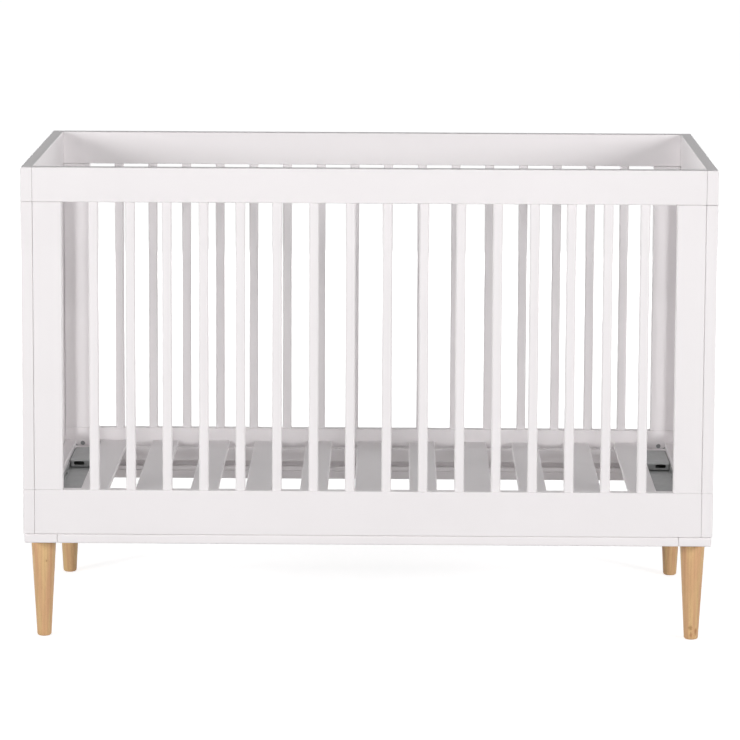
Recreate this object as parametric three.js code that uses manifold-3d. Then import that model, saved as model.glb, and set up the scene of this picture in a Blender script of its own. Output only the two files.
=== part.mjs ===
// Full-size baby crib. Two slatted long sides stand between two slatted ends, on a flat base frame with
// four turned legs. A slatted mattress deck with steel end brackets bolts to the ends at one of several
// heights. Millimetres. X runs along the crib, Y from front to rear, Z up; the origin is on the floor
// under the crib's middle.
import * as THREE from "three";
import { RoundedBoxGeometry } from "three/addons/geometries/RoundedBoxGeometry.js";
import { mergeVertices } from "three/addons/utils/BufferGeometryUtils.js";
import Module from "manifold-3d";

const wasm = await Module();
wasm.setup();

// Overall
const innerLength = 1330; // between the two ends, made for a full-size crib mattress
const innerDepth = 724; // between the two long sides
const overallHeight = 956;
const seat = 0.3; // gap left between pieces that touch
const weld = 1; // how far glued or welded pieces run into each other

// Panels: rails and stiles of the sides and ends
const sideThick = 24;
const endThick = 23;
const topRailHeight = 69;
const bottomRailHeight = 90;
const stileWidth = 56.5;
const railEase = 2; // radius worked on a board's long edges
const tenonWidth = 30;
const tenonThick = 9;
const mortiseDepth = 12;
const mortisePlay = 0.3;

// Upright slats
const sideSlatCount = 16;
const endSlatCount = 8;
const slatWidth = 19.5;
const slatThick = 18;
const slatEase = 4.5;
const slatSeatDepth = 10;

// Connector bolts that draw the sides to the ends, with barrel nuts in the side rails
const connectorHole = 7;
const connectorHeadHole = 15;
const connectorHeadDepth = 5;
const barrelHole = 10.4;
const barrelDepth = 17;
const bottomBarrelFromEnd = 38; // bored from the rail's inner face
const topBarrelFromEnd = 68; // bored from the rail's lower edge, just past the stile
const boltPastBarrel = 14;
const bottomConnectorDrop = 35; // bolt line below the bottom rail's top edge

// Base frame and legs
const baseThick = 18.5;
const baseInset = 2;
const baseEase = 2.5;
const endBoardWidth = 66;
const longBoardWidth = 36;
const legLength = 201.2;
const legTopDiameter = 50.5;
const legFootDiameter = 29;
const legFromFront = 66; // leg centre from the crib's front or rear face
const footRadius = 5;
const legShoulderRadius = 1.5;
const studDiameter = 8;
const studLength = 15;
const studPlay = 0.5;

// Mattress deck
const deckBelowRail = 27; // deck's top below the bottom rail's top edge, at the lowest height
const deckSidePlay = 3;
const deckSlatCount = 11;
const deckSlatWidth = 56.5;
const deckSlatThick = 9.5;
const deckEase = 1.5;
const battenWidth = 20;
const battenHeight = 28.5;
const battenFromSide = 20;
const cleatWidth = 24;
const cleatHeight = 40;

// Steel end brackets of the deck
const sheet = 2;
const bendRadius = 4;
const bracketFloorWidth = 54;
const gussetLength = 160;
const gussetEdgePlay = 2.5; // between a corner plate and the first slat
const gussetLip = 14.5;
const lipSlotWidth = 22;
const lipSlotHeight = 8.5;
const lipSlotFromWeb = 21;

// Heights that the deck bolts on at
const heightCount = 4;
const heightStep = 80;
const heightHole = 7;
const heightHoleDepth = 14;
const heightBoltFromSide = 11;
const heightBoltDrop = 15; // bolt line below the deck's top

// Facets round a hole and round a leg
const roundSides = 12;
const legSides = 24;

// Worked out from the sizes above
const overallLength = innerLength + 2 * endThick;
const overallDepth = innerDepth + 2 * sideThick;
const baseBottom = legLength + seat;
const frameBottom = baseBottom + baseThick + seat;
const bottomRailTop = frameBottom + bottomRailHeight;
const bottomRailMiddle = frameBottom + bottomRailHeight / 2;
const topRailBottom = overallHeight - topRailHeight;
const openHeight = topRailBottom - bottomRailTop;
const openMiddle = (topRailBottom + bottomRailTop) / 2;
const bottomConnectorZ = bottomRailTop - bottomConnectorDrop;
const topConnectorZ = topRailBottom + topRailHeight / 2;
const sideCentreY = (innerDepth + sideThick) / 2;
const deckTop = bottomRailTop - deckBelowRail;
const deckDepth = innerDepth - 2 * deckSidePlay;
const cleatInnerX = innerLength / 2 - seat - cleatWidth;
const battenOuterY = innerDepth / 2 - battenFromSide;
const battenInnerY = battenOuterY - battenWidth;
const heightBoltY = innerDepth / 2 - heightBoltFromSide;

// Finishes
const whiteLacquer = { color: 0xf1eeed, roughness: 0.42, metalness: 0 };
const whiteSlats = { color: 0xe9e6e4, roughness: 0.55, metalness: 0 };
const oiledBeech = { color: 0xcda474, roughness: 0.5, metalness: 0 };
const zincSteel = { color: 0x8d9190, roughness: 0.38, metalness: 0.85 };

const axisX = new THREE.Vector3(1, 0, 0);
const axisY = new THREE.Vector3(0, 1, 0);
const axisZ = new THREE.Vector3(0, 0, 1);

// Turns a shape extruded along Z so that it runs along the named axis, keeping it right-handed.
const turnTo = {
  x: new THREE.Matrix4().makeBasis(axisY, axisZ, axisX),
  y: new THREE.Matrix4().makeBasis(axisZ, axisX, axisY),
  z: new THREE.Matrix4(),
};

// The two sizes across a piece, in the order that turnTo lays them out.
const sizesAcross = {
  x: (x, y, z) => [y, z, x],
  y: (x, y, z) => [z, x, y],
  z: (x, y, z) => [x, y, z],
};

// A shape pulled to a length along Z, centred on height 0.
function extruded(outline, length, curveSegments) {
  const settings = { depth: length, bevelEnabled: false, curveSegments };
  return new THREE.ExtrudeGeometry(outline, settings).translate(0, 0, -length / 2);
}

// A bar with its long edges rounded, centred on (cx, cy, cz) and running along one axis.
function bar([x, y, z], along, ease, [cx, cy, cz]) {
  const [width, height, length] = sizesAcross[along](x, y, z);
  const dx = width / 2 - ease;
  const dy = height / 2 - ease;
  const outline = new THREE.Shape();
  outline.absarc(dx, dy, ease, 0, Math.PI / 2);
  outline.absarc(-dx, dy, ease, Math.PI / 2, Math.PI);
  outline.absarc(-dx, -dy, ease, Math.PI, 1.5 * Math.PI);
  outline.absarc(dx, -dy, ease, 1.5 * Math.PI, 2 * Math.PI);
  return extruded(outline, length, 1).applyMatrix4(turnTo[along]).translate(cx, cy, cz);
}

// A square-edged block.
function block([x, y, z], [cx, cy, cz]) {
  return new THREE.BoxGeometry(x, y, z).translate(cx, cy, cz);
}

// A board with every edge rounded, ends as well.
function easedBoard([x, y, z], ease, [cx, cy, cz]) {
  return new RoundedBoxGeometry(x, y, z, 1, ease).translate(cx, cy, cz);
}

// A round tool for holes, running along one axis.
function drill(diameter, length, along, [cx, cy, cz]) {
  const radius = diameter / 2;
  const geometry = new THREE.CylinderGeometry(radius, radius, length, roundSides).rotateX(Math.PI / 2);
  return geometry.applyMatrix4(turnTo[along]).translate(cx, cy, cz);
}

function solidOf(geometry) {
  const bare = geometry.clone();
  bare.deleteAttribute("normal");
  bare.deleteAttribute("uv");
  const merged = mergeVertices(bare, 1e-4);
  const vertProperties = merged.attributes.position.array;
  const triVerts = new Uint32Array(merged.index.array);
  return new wasm.Manifold(new wasm.Mesh({ numProp: 3, vertProperties, triVerts }));
}

function geometryOf(solid) {
  const { vertProperties, triVerts } = solid.getMesh();
  const indexed = new THREE.BufferGeometry();
  indexed.setAttribute("position", new THREE.BufferAttribute(vertProperties, 3));
  indexed.setIndex(new THREE.BufferAttribute(triVerts, 1));
  const faceted = indexed.toNonIndexed();
  faceted.computeVertexNormals();
  return faceted;
}

// Joins some geometries into one solid, then cuts others out of it.
function carve(joined, cuts = []) {
  const whole = joined.map(solidOf).reduce((solid, other) => solid.add(other));
  return geometryOf(cuts.map(solidOf).reduce((solid, tool) => solid.subtract(tool), whole));
}

function piece(name, geometry, finish) {
  const mesh = new THREE.Mesh(geometry, new THREE.MeshStandardMaterial(finish));
  mesh.name = name;
  return mesh;
}

// What is made twice, at the negative and the positive end or row.
function bothWays(make) {
  return [-1, 1].flatMap(make);
}

// Evenly pitched places, centred on 0.
function centredRow(count, pitch) {
  return Array.from({ length: count }, (_, i) => (i - (count - 1) / 2) * pitch);
}

// Centres of a row of slats with equal gaps between them and at both ends of the clear width.
function slatCentres(count, width, clearWidth) {
  return centredRow(count, width + (clearWidth - count * width) / (count + 1));
}

const sideStileX = innerLength / 2 - seat - stileWidth / 2;
const endStileY = (overallDepth - stileWidth) / 2;
const sideSlatX = slatCentres(sideSlatCount, slatWidth, 2 * sideStileX - stileWidth);
const endSlatY = slatCentres(endSlatCount, slatWidth, 2 * endStileY - stileWidth);
const deckSlatX = slatCentres(deckSlatCount, deckSlatWidth, 2 * cleatInnerX);
const deckSlatSpan = 2 * deckSlatX.at(-1) + deckSlatWidth;
const slatReach = openHeight + 2 * (slatSeatDepth - seat);

// An upright slat whose ends sit in the rails' pockets.
function slat(sizeX, sizeY, [cx, cy], length = slatReach, cz = openMiddle) {
  return bar([sizeX, sizeY, length], "z", slatEase, [cx, cy, cz]);
}

// Pocket for a slat's end. Its middle lies on the rail's edge, so half of it is cut away.
function slatPocket(sizeX, sizeY, [cx, cy], edgeZ) {
  const size = [sizeX + 2 * mortisePlay, sizeY + 2 * mortisePlay, 2 * slatSeatDepth];
  return bar(size, "z", slatEase, [cx, cy, edgeZ]);
}

// A stile between the rails, with a tenon at each end.
function stile(sizeX, sizeY, tenonX, tenonY, [cx, cy], cuts = []) {
  const body = bar([sizeX, sizeY, openHeight - 2 * seat], "z", railEase, [cx, cy, openMiddle]);
  const tenons = block([tenonX, tenonY, openHeight + 2 * (mortiseDepth - seat)], [cx, cy, openMiddle]);
  return carve([body, tenons], cuts);
}

function tenonMortise(tenonX, tenonY, [cx, cy], edgeZ) {
  return block([tenonX + 2 * mortisePlay, tenonY + 2 * mortisePlay, 2 * mortiseDepth], [cx, cy, edgeZ]);
}

// A side rail: pockets for the slats and stiles along one edge, and bolt and barrel nut holes at its ends.
function sideRail(height, middleZ, edgeZ, boltZ, boltReach, barrels) {
  const railLength = innerLength - 2 * seat;
  const rail = bar([railLength, sideThick, height], "x", railEase, [0, 0, middleZ]);
  const slatPockets = sideSlatX.map((x) => slatPocket(slatWidth, slatThick, [x, 0], edgeZ));
  const mortises = bothWays((end) => tenonMortise(tenonWidth, tenonThick, [end * sideStileX, 0], edgeZ));
  const boltHoles = bothWays((end) => {
    return drill(connectorHole, 2 * boltReach, "x", [(end * railLength) / 2, 0, boltZ]);
  });
  return carve([rail], [...slatPockets, ...mortises, ...boltHoles, ...barrels]);
}

// One long side, drawn with its inner face towards +Y. The rear one is the same side turned round.
function longSide(side, turned) {
  const group = new THREE.Group();
  const leftAndRight = turned ? ["right", "left"] : ["left", "right"];

  const topReach = topBarrelFromEnd + boltPastBarrel;
  const topBarrelDepth = topConnectorZ - topRailBottom + barrelHole / 2;
  const topBarrels = bothWays((end) => {
    const x = end * (innerLength / 2 - topBarrelFromEnd);
    return drill(barrelHole, 2 * topBarrelDepth, "z", [x, 0, topRailBottom]);
  });
  const topSizes = [topRailHeight, topConnectorZ, topRailBottom, topConnectorZ];
  const topRail = sideRail(...topSizes, topReach, topBarrels);
  group.add(piece(`${side}_top_rail`, topRail, whiteLacquer));

  const bottomReach = bottomBarrelFromEnd + boltPastBarrel;
  const bottomBarrels = bothWays((end) => {
    const x = end * (innerLength / 2 - bottomBarrelFromEnd);
    return drill(barrelHole, 2 * barrelDepth, "y", [x, sideThick / 2, bottomConnectorZ]);
  });
  const bottomSizes = [bottomRailHeight, bottomRailMiddle, bottomRailTop, bottomConnectorZ];
  const bottomRail = sideRail(...bottomSizes, bottomReach, bottomBarrels);
  group.add(piece(`${side}_bottom_rail`, bottomRail, whiteLacquer));

  bothWays((end) => stile(stileWidth, sideThick, tenonWidth, tenonThick, [end * sideStileX, 0])).forEach(
    (shape, i) => group.add(piece(`${side}_${leftAndRight[i]}_stile`, shape, whiteLacquer)),
  );
  sideSlatX.forEach((x, i) => {
    const number = String(turned ? sideSlatCount - i : i + 1).padStart(2, "0");
    group.add(piece(`${side}_slat_${number}`, slat(slatWidth, slatThick, [x, 0]), whiteLacquer));
  });
  group.rotation.z = turned ? Math.PI : 0;
  group.position.y = turned ? sideCentreY : -sideCentreY;
  return group;
}

// One end, drawn with its inner face towards +X. It runs the crib's full depth and covers the sides' ends.
function endPanel(side, turned) {
  const group = new THREE.Group();
  const frontAndRear = turned ? ["rear", "front"] : ["front", "rear"];
  const mortises = (edgeZ) =>
    bothWays((row) => tenonMortise(tenonThick, tenonWidth, [0, row * endStileY], edgeZ));
  const boltHoles = (z) =>
    bothWays((row) => [
      drill(connectorHole, 2 * endThick, "x", [0, row * sideCentreY, z]),
      drill(connectorHeadHole, 2 * connectorHeadDepth, "x", [-endThick / 2, row * sideCentreY, z]),
    ]);
  const heightHoles = (row) =>
    Array.from({ length: heightCount }, (_, step) => {
      const z = deckTop - heightBoltDrop + step * heightStep;
      return drill(heightHole, 2 * heightHoleDepth, "x", [endThick / 2, row * heightBoltY, z]);
    });

  const topRail = easedBoard([endThick, overallDepth, topRailHeight], railEase, [0, 0, topConnectorZ]);
  const slatPockets = endSlatY.map((y) => slatPocket(slatThick, slatWidth, [0, y], topRailBottom));
  const topCuts = [...mortises(topRailBottom), ...slatPockets, ...boltHoles(topConnectorZ)];
  group.add(piece(`${side}_end_top_rail`, carve([topRail], topCuts), whiteLacquer));

  const railSize = [endThick, overallDepth, bottomRailHeight];
  const bottomRail = easedBoard(railSize, railEase, [0, 0, bottomRailMiddle]);
  const gluedLength = openHeight + slatSeatDepth - seat + weld;
  const gluedMiddle = bottomRailTop - weld + gluedLength / 2;
  const slats = endSlatY.map((y) => slat(slatThick, slatWidth, [0, y], gluedLength, gluedMiddle));
  const bottomBolts = [...boltHoles(bottomConnectorZ), ...bothWays(heightHoles)];
  const bottomPart = carve([bottomRail, ...slats], [...mortises(bottomRailTop), ...bottomBolts]);
  group.add(piece(`${side}_end_bottom_rail_and_slats`, bottomPart, whiteLacquer));

  [-1, 1].forEach((row, i) => {
    const sizes = [endThick, stileWidth, tenonThick, tenonWidth];
    const shape = stile(...sizes, [0, row * endStileY], heightHoles(row));
    group.add(piece(`${side}_end_${frontAndRear[i]}_stile`, shape, whiteLacquer));
  });
  group.rotation.z = turned ? Math.PI : 0;
  group.position.x = ((turned ? 1 : -1) * (innerLength + endThick)) / 2;
  return group;
}

const endBoardX = overallLength / 2 - baseInset - endBoardWidth / 2;
const legY = overallDepth / 2 - legFromFront;

// Flat boards under the panels: end boards run through, and the long boards butt between them.
function baseFrame() {
  const group = new THREE.Group();
  const middle = baseBottom + baseThick / 2;
  const boardDepth = overallDepth - 2 * baseInset;
  const longBoardLength = 2 * endBoardX - endBoardWidth - 2 * seat;
  const longBoardY = overallDepth / 2 - baseInset - longBoardWidth / 2;
  ["left", "right"].forEach((side, i) => {
    const x = (i ? 1 : -1) * endBoardX;
    const board = easedBoard([endBoardWidth, boardDepth, baseThick], baseEase, [x, 0, middle]);
    const studHole = studDiameter + 2 * studPlay;
    const studHoles = bothWays((row) => drill(studHole, 2 * baseThick, "z", [x, row * legY, middle]));
    group.add(piece(`base_${side}_board`, carve([board], studHoles), whiteLacquer));
  });
  ["front", "rear"].forEach((side, i) => {
    const y = (i ? 1 : -1) * longBoardY;
    const board = bar([longBoardLength, longBoardWidth, baseThick], "x", baseEase, [0, y, middle]);
    group.add(piece(`base_${side}_board`, board, whiteLacquer));
  });
  return group;
}

// A turned, tapered leg with a rounded foot, and the steel stud that screws into the base.
function legGeometry() {
  const outline = new THREE.Path();
  const foot = legFootDiameter / 2;
  const top = legTopDiameter / 2;
  const stud = studDiameter / 2;
  outline.moveTo(0, 0);
  outline.lineTo(foot - footRadius, 0);
  outline.absarc(foot - footRadius, footRadius, footRadius, -Math.PI / 2, 0);
  outline.absarc(top - legShoulderRadius, legLength - legShoulderRadius, legShoulderRadius, 0, Math.PI / 2);
  outline.lineTo(stud, legLength);
  outline.lineTo(stud, legLength + studLength);
  outline.lineTo(0, legLength + studLength);
  return new THREE.LatheGeometry(outline.getPoints(2), legSides).rotateX(Math.PI / 2);
}

function legs() {
  const group = new THREE.Group();
  ["front", "rear"].forEach((row, j) => {
    ["left", "right"].forEach((side, i) => {
      const leg = piece(`${row}_${side}_leg`, legGeometry(), oiledBeech);
      leg.position.set((i ? 1 : -1) * endBoardX, (j ? 1 : -1) * legY, 0);
      group.add(leg);
    });
  });
  return group;
}

// The deck: cross slats on two battens, with a cleat at each end that bolts to the end panel.
// Drawn with its top at height 0.
function mattressDeck() {
  const battenMiddle = -deckSlatThick - battenHeight / 2;
  const sideBattenY = battenOuterY - battenWidth / 2;
  const crossSlats = deckSlatX.map((x) =>
    bar([deckSlatWidth, deckDepth, deckSlatThick], "y", deckEase, [x, 0, -deckSlatThick / 2]),
  );
  const glueSpot = [battenWidth, battenWidth / 2, 2 * weld];
  const glueSpots = deckSlatX.flatMap((x) =>
    [-sideBattenY, sideBattenY].map((y) => block(glueSpot, [x, y, -deckSlatThick])),
  );
  const sideBattens = bothWays((row) =>
    block([2 * (cleatInnerX + weld), battenWidth, battenHeight], [0, row * sideBattenY, battenMiddle]),
  );
  const cleatX = cleatInnerX + cleatWidth / 2;
  const cleats = bothWays((end) =>
    bar([cleatWidth, deckDepth, cleatHeight], "y", deckEase, [end * cleatX, 0, -cleatHeight / 2]),
  );
  const boltHoles = bothWays((end) =>
    bothWays((row) => {
      const place = [end * cleatX, row * heightBoltY, -heightBoltDrop];
      return drill(heightHole, 2 * cleatWidth, "x", place);
    }),
  );
  return carve([...crossSlats, ...glueSpots, ...sideBattens, ...cleats], boltHoles);
}

// Steel bracket along the deck's end: an angle beside the cleat, with a plate from its web into each corner
// whose free edge is folded down and slotted. Drawn for the left end, with height 0 at the deck's top.
function endBracket() {
  const webX = -cleatInnerX + seat;
  const plateTop = -deckSlatThick - seat;
  const floorBottom = -deckSlatThick - battenHeight;
  const endY = battenInnerY - seat;
  const innerBend = bendRadius - sheet;

  const angle = new THREE.Shape();
  angle.moveTo(webX, plateTop - sheet / 2);
  angle.lineTo(webX, floorBottom + bendRadius);
  angle.absarc(webX + bendRadius, floorBottom + bendRadius, bendRadius, Math.PI, 1.5 * Math.PI);
  angle.lineTo(webX + bracketFloorWidth, floorBottom);
  angle.lineTo(webX + bracketFloorWidth, floorBottom + sheet);
  angle.absarc(webX + bendRadius, floorBottom + bendRadius, innerBend, 1.5 * Math.PI, Math.PI, true);
  angle.lineTo(webX + sheet, plateTop - sheet / 2);
  const profile = extruded(angle, 2 * endY, 2).rotateX(Math.PI / 2);

  const plateWidth = cleatInnerX - seat - deckSlatSpan / 2 - gussetEdgePlay;
  const plateX = webX + plateWidth / 2;
  const plateY = endY - gussetLength / 2;
  const plateSize = [plateWidth, gussetLength, sheet];
  const plates = bothWays((row) => block(plateSize, [plateX, row * plateY, plateTop - sheet / 2]));
  const lipY = endY - gussetLength + sheet / 2;
  const lipZ = plateTop - gussetLip / 2;
  const lips = bothWays((row) => block([plateWidth, sheet, gussetLip], [plateX, row * lipY, lipZ]));
  const slotX = webX + lipSlotFromWeb;
  const slotZ = plateTop - sheet - lipSlotHeight / 2;
  const slotSize = [lipSlotWidth, 3 * sheet, lipSlotHeight];
  const slots = bothWays((row) => block(slotSize, [slotX, row * lipY, slotZ]));
  return carve([profile, ...plates, ...lips], slots);
}

function mattressSupport() {
  const group = new THREE.Group();
  group.add(piece("mattress_deck", mattressDeck(), whiteSlats));
  group.add(piece("left_end_bracket", endBracket(), zincSteel));
  const right = piece("right_end_bracket", endBracket(), zincSteel);
  right.rotation.z = Math.PI;
  group.add(right);
  group.position.z = deckTop;
  return group;
}

const crib = new THREE.Group();
crib.add(longSide("front", false), longSide("rear", true));
crib.add(endPanel("left", false), endPanel("right", true));
crib.add(baseFrame(), legs(), mattressSupport());

export default crib;
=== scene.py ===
import math

import bmesh
import bpy
from mathutils import Matrix, Vector


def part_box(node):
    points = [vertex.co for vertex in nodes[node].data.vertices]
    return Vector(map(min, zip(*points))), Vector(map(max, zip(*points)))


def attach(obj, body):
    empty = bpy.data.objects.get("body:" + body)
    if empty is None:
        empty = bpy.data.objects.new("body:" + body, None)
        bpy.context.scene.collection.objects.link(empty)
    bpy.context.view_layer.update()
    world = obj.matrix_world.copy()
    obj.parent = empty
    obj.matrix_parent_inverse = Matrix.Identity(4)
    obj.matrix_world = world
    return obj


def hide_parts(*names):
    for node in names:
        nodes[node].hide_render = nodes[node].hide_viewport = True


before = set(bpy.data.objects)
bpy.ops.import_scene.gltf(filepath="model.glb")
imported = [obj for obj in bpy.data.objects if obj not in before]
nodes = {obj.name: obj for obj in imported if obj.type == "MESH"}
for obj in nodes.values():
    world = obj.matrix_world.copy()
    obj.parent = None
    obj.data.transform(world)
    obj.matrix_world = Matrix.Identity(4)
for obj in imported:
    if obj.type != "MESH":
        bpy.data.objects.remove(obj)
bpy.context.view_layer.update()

# A full-size baby crib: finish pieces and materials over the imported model, and the studio round it.
mm = 0.001
scene = bpy.context.scene
frameBody, deckBody = "crib_frame", "mattress_support"
ways = (-1, 1)  # towards minus and plus: left and right, or front and rear
touchGap = 0.3 * mm  # kept between pieces that touch
samePoint = 0.01 * mm  # points closer than this are one
flatWithin = math.radians(0.5)  # faces that turn less than this are one

# Faces that other pieces are set out from: how far they lie from the crib's middle, or above the floor.
railLow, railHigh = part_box("front_bottom_rail")
railTop, railInnerY, sideMiddleY = railHigh.z, -railHigh.y, -(railLow.y + railHigh.y) / 2
endLow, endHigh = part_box("left_end_top_rail")
endInnerX, endOuterX = -endHigh.x, -endLow.x
baseLow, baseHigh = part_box("base_front_board")
baseUnder, baseTop, baseInnerY = baseLow.z, baseHigh.z, -baseHigh.y
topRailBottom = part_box("front_top_rail")[0].z
deckLow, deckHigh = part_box("mattress_deck")
print("frame loaded,", len(nodes), "nodes")


def fromHex(code):  # sRGB hex to linear
    parts = [int(code[i:i + 2], 16) / 255 for i in (0, 2, 4)]
    return [c / 12.92 if c <= 0.04045 else ((c + 0.055) / 1.055) ** 2.4 for c in parts] + [1]


def addNode(tree, kind, settings={}, values={}, links={}):
    node = tree.nodes.new(kind)
    for name, value in settings.items():
        setattr(node, name, value)
    for socket, value in values.items():
        node.inputs[socket].default_value = value
    for socket, source in links.items():
        tree.links.new(source, node.inputs[socket])
    return node


def newMaterial(name):
    material = bpy.data.materials.new(name)
    material.use_nodes = True
    material.node_tree.nodes.clear()
    return material, material.node_tree


# Satin white lacquer, sprayed on sanded poplar: an even, faintly warm white with a soft sheen. Only a
# breath of the wood's grain, drawn coarser than it is so that it shows, and of the spray's orange peel is
# left in the gloss.
lacquerLook = {
    "colour": "F4F0F1",
    "cloudColour": "EFEBEC",
    "cloudSize": 160 * mm,
    "grainWidth": 1.4 * mm,
    "grainLength": 60 * mm,
    "grainDepth": 0.02 * mm,
    "peelSize": 1.8 * mm,
    "peelDepth": 0.012 * mm,
    "roughness": 0.42,
    "sheenSpread": 0.05,
    "ior": 1.48,
}


def whiteLacquer(name, along):
    look = lacquerLook
    material, tree = newMaterial(name)
    place = addNode(tree, "ShaderNodeTexCoord").outputs["Object"]
    stretch = [1 / look["grainWidth"]] * 3
    stretch["xyz".index(along)] = 1 / look["grainLength"]
    grainPlace = addNode(tree, "ShaderNodeMapping", values={"Scale": stretch}, links={"Vector": place})
    grain = addNode(tree, "ShaderNodeTexNoise", values={"Scale": 1, "Detail": 3, "Roughness": 0.6},
                    links={"Vector": grainPlace.outputs[0]})
    peel = addNode(tree, "ShaderNodeTexNoise", values={"Scale": 1 / look["peelSize"], "Detail": 1},
                   links={"Vector": place})
    cloud = addNode(tree, "ShaderNodeTexNoise", values={"Scale": 1 / look["cloudSize"], "Detail": 2},
                    links={"Vector": place})
    colour = addNode(tree, "ShaderNodeMix", {"data_type": "RGBA"},
                     {6: fromHex(look["colour"]), 7: fromHex(look["cloudColour"])},
                     {0: cloud.outputs["Fac"]})
    roughness = addNode(tree, "ShaderNodeMapRange",
                        values={"To Min": look["roughness"] - look["sheenSpread"],
                                "To Max": look["roughness"] + look["sheenSpread"]},
                        links={"Value": grain.outputs["Fac"]})
    grainBump = addNode(tree, "ShaderNodeBump", values={"Distance": look["grainDepth"]},
                        links={"Height": grain.outputs["Fac"]})
    bump = addNode(tree, "ShaderNodeBump", values={"Distance": look["peelDepth"]},
                   links={"Height": peel.outputs["Fac"], "Normal": grainBump.outputs[0]})
    shader = addNode(tree, "ShaderNodeBsdfPrincipled", values={"IOR": look["ior"]},
                     links={"Base Color": colour.outputs[2], "Roughness": roughness.outputs[0],
                            "Normal": bump.outputs[0]})
    addNode(tree, "ShaderNodeOutputMaterial", links={"Surface": shader.outputs[0]})
    return material


lacquerX = whiteLacquer("white_lacquer_grain_along_x", "x")
lacquerY = whiteLacquer("white_lacquer_grain_along_y", "y")
lacquerZ = whiteLacquer("white_lacquer_grain_along_z", "z")

# Turned beech under a clear satin finish: warm tan with straight, low-contrast grain that drifts between
# straw and pink, short dark ray flecks, and a small knot here and there. The rings are drawn wider than
# real ones, or they would be too fine to show.
beechLook = {
    "pale": "DDBA85",
    "rose": "D4A57B",
    "late": "BD9064",
    "fleck": "A67C50",
    "bandWidth": 9 * mm,
    "bandLength": 300 * mm,
    "bandFade": (0.35, 0.65),  # noise values between which straw turns to pink
    "ringSpacing": 6.4 * mm,
    "ringWander": 2.2,
    "ringWanderScale": 12,
    "ringWanderAlong": 0.06,  # pace of the wander up the leg, where across it is 1
    "lateFrom": 0.55,  # how far through each ring its late wood starts to darken
    "lateShare": 0.42,
    "pithAway": (46 * mm, 31 * mm),
    "fleckWidth": 0.5 * mm,
    "fleckLength": 3.5 * mm,
    "fleckFade": (0.56, 0.72),  # noise values between which a fleck comes up
    "fleckShare": 0.5,
    "poreDepth": 0.03 * mm,
    "roughness": 0.45,
    "ior": 1.5,
    "knotFade": (0.7, 1.5),  # ragged distances from a knot's middle between which it fades
    "knotShare": 0.75,
    "knotRagged": 220,  # waves to the metre round a knot's edge
    "knots": [  # place in metres, half sizes and colour of each knot or streak
        ((-0.6459, -0.3417, 0.1567), (2.2 * mm, 5 * mm, 3.6 * mm), "B08455"),
        ((0.6506, -0.3362, 0.0257), (6.5 * mm, 10 * mm, 7.5 * mm), "A87B4C"),
        ((0.6521, -0.3355, 0.0107), (4.2 * mm, 8 * mm, 8 * mm), "B07A50"),
        ((0.6616, -0.3328, 0.0176), (3.3 * mm, 6 * mm, 10 * mm), "A8683C"),
    ],
}


# Noise that is drawn out along the leg.
def longNoise(tree, place, width, length, settings):
    stretched = addNode(tree, "ShaderNodeMapping", values={"Scale": (1 / width, 1 / width, 1 / length)},
                        links={"Vector": place})
    return addNode(tree, "ShaderNodeTexNoise", values={"Scale": 1} | settings,
                   links={"Vector": stretched.outputs[0]}).outputs["Fac"]


# Rings round a pith that lies outside the leg's blank, alike in all four legs.
def growthRings(tree, place, look):
    folded = addNode(tree, "ShaderNodeVectorMath", {"operation": "ABSOLUTE"}, links={0: place})
    legLow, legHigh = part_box("front_right_leg")
    pithX = (legLow.x + legHigh.x) / 2 + look["pithAway"][0]
    pithY = abs(legLow.y + legHigh.y) / 2 + look["pithAway"][1]
    ringPlace = addNode(tree, "ShaderNodeMapping",
                        values={"Location": (-pithX, -pithY, 0), "Scale": (1, 1, look["ringWanderAlong"])},
                        links={"Vector": folded.outputs[0]})
    wavesPerScale = 20 / (2 * math.pi)  # waves to the metre in a Wave Texture of scale 1
    wave = addNode(tree, "ShaderNodeTexWave",
                   {"wave_type": "RINGS", "rings_direction": "Z", "wave_profile": "SAW"},
                   {"Scale": 1 / look["ringSpacing"] / wavesPerScale, "Distortion": look["ringWander"],
                    "Detail": 2, "Detail Scale": look["ringWanderScale"]},
                   {"Vector": ringPlace.outputs[0]})
    return addNode(tree, "ShaderNodeMapRange",
                   values={"From Min": look["lateFrom"], "From Max": 1, "To Max": look["lateShare"]},
                   links={"Value": wave.outputs["Fac"]}).outputs[0]


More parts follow.
